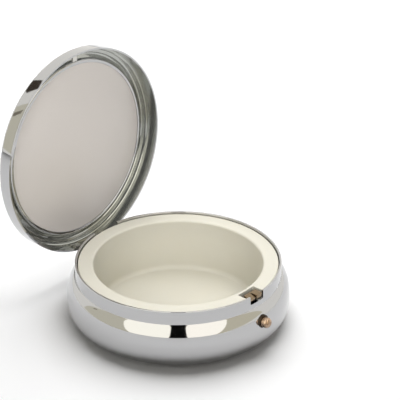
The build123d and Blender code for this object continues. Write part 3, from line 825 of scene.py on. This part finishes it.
eye = Vector((-0.28852, -0.26188, 0.23394))
aim = Vector((0.00978, 0.00218, 0.02469))
camera_turn = atan2(eye.y - aim.y, eye.x - aim.x)

bpy.ops.object.select_all(action="DESELECT")
bpy.ops.mesh.primitive_circle_add(vertices=96, radius=1.6, fill_type="NGON", location=(0, 0, -0.00001))
floor = bpy.context.object
floor.name = "sweep"
paper = bpy.data.materials.new("Matt_white_paper")
paper.use_nodes = True
shader = paper.node_tree.nodes["Principled BSDF"]
shader.inputs["Roughness"].default_value = 0.9
shader.inputs["Specular IOR Level"].default_value = 0.1
shader.inputs["Base Color"].default_value = linear("FCFCFC")
floor.data.materials.append(paper)


def hang_cloth(name, corners, hex_colour, strength, left_bow=0, right_bow=0):
    """Hangs a lit cloth, 12 rows high, between its corners: foot left and right, then head left and right, each
    as (front, side, up) from the object in metres. The bows draw its side edges in or out at half height."""
    bpy.ops.mesh.primitive_grid_add(x_subdivisions=1, y_subdivisions=12, size=1, location=(0, 0, 0))
    cloth = bpy.context.object
    cloth.name = name
    for vertex in cloth.data.vertices:
        share = vertex.co.y + 0.5
        left = vertex.co.x < 0
        foot, head = (corners[0], corners[2]) if left else (corners[1], corners[3])
        bow = left_bow if left else right_bow
        vertex.co = Vector(foot).lerp(head, share) + Vector((0, bow * 4 * share * (1 - share), 0))
    cloth.rotation_euler = (0, 0, camera_turn)
    finish = bpy.data.materials.new(name)
    finish.use_nodes = True
    cloth_shader = finish.node_tree.nodes["Principled BSDF"]
    cloth_shader.inputs["Base Color"].default_value = (0, 0, 0, 1)
    cloth_shader.inputs["Specular IOR Level"].default_value = 0
    cloth_shader.inputs["Emission Color"].default_value = linear(hex_colour)
    cloth_shader.inputs["Emission Strength"].default_value = strength
    cloth.data.materials.append(finish)
    cloth.visible_camera = cloth.visible_diffuse = cloth.visible_transmission = cloth.visible_shadow = False


hang_cloth("cloth_left", [(0.46, -0.67, -0.04), (0.46, -0.07, -0.04), (-0.19, -1.09, 1.6), (-0.19, -0.3, 1.6)],
           "F7F4E8", 2.1, 0.31, 0.109)
hang_cloth("cloth_right", [(0.46, 0.074, -0.04), (0.46, 0.515, -0.04), (-0.19, 0.3, 1.6), (-0.19, 1.12, 1.6)],
           "FAF5EA", 2.1, -0.109, -0.33)
hang_cloth("camera_gap", [(0.462, -0.1, -0.04), (0.462, 0.1, -0.04), (-0.188, -0.31, 1.6), (-0.188, 0.31, 1.6)],
           "0A0A0A", 1, 0.03, -0.03)
hang_cloth("flag_left", [(-0.25, -0.92, 0.1), (0.48, -0.45, -0.04), (-0.25, -0.95, 1.0), (-0.17, -0.6, 1.6)],
           "DEDAC8", 1.2)
hang_cloth("flag_fold", [(-0.16, -0.82, 0.42), (-0.04, -0.86, 0.36), (-0.14, -0.78, 0.54), (-0.08, -0.84, 0.42)],
           "A79F8E", 0.8)
hang_cloth("flag_back", [(-0.46, -0.55, 0.53), (-0.32, -0.66, 0.6), (-0.51, -0.55, 0.75), (-0.4, -0.66, 0.78)],
           "4E463E", 1)
hang_cloth("flag_right", [(0.48, 0.3, -0.04), (-0.05, 0.85, 0.26), (-0.17, 0.6, 1.6), (-0.1, 0.8, 1.2)],
           "E0DAC4", 1.2)

bpy.ops.mesh.primitive_uv_sphere_add(segments=48, ring_count=24, radius=1.5, location=(0, 0, 0))
tent = bpy.context.object
tent.name = "tent"
tent_finish = bpy.data.materials["cloth_left"].copy()
tent_finish.name = "tent"
tent.data.materials.append(tent_finish)
tent_shader = tent_finish.node_tree.nodes["Principled BSDF"]
tent_shader.inputs["Emission Color"].default_value = linear("FAF8F2")
tent_shader.inputs["Emission Strength"].default_value = 1.22
tent.visible_camera = tent.visible_diffuse = tent.visible_transmission = tent.visible_shadow = False


def hang_light(name, front, up, size, energy):
    """Hangs a round soft light at a distance in front of the object and a height, aimed at the object."""
    lamp = Vector((front * cos(camera_turn), front * sin(camera_turn), up))
    bpy.ops.object.light_add(type="AREA", location=lamp, rotation=lamp.to_track_quat("Z", "Y").to_euler())
    light = bpy.context.object
    light.name = name
    light.data.shape = "DISK"
    light.data.size = size
    light.data.energy = energy
    light.visible_glossy = False
    return light


hang_light("overhead", -0.35, 0.8, 1.0, 11.0)
front_fill = hang_light("front_fill", 0.74, 0.42, 0.7, 6.2)
# The fill is flagged off the paper, so that the shadow at the bowl's foot stays dark.
flagged = bpy.data.collections.new("kept_off_by_the_fill")
flagged.objects.link(floor)
front_fill.light_linking.receiver_collection = flagged
flagged.collection_objects[0].light_linking.link_state = "EXCLUDE"

world = bpy.data.worlds.new("studio")
bpy.context.scene.world = world
world.use_nodes = True
world.node_tree.nodes["Background"].inputs["Color"].default_value = linear("FCFCFF")
world.node_tree.nodes["Background"].inputs["Strength"].default_value = 0.06

# The camera stands at the object's front left, above the open lid, and looks down through a long lens.
bpy.ops.object.camera_add(location=eye)
camera = bpy.context.object
camera.rotation_euler = (aim - eye).to_track_quat("-Z", "Y").to_euler()
camera.data.lens = 180.28
camera.data.sensor_width = 36
camera.data.clip_start = 0.01
bpy.context.scene.camera = camera
bpy.context.scene.view_settings.view_transform = "Standard"
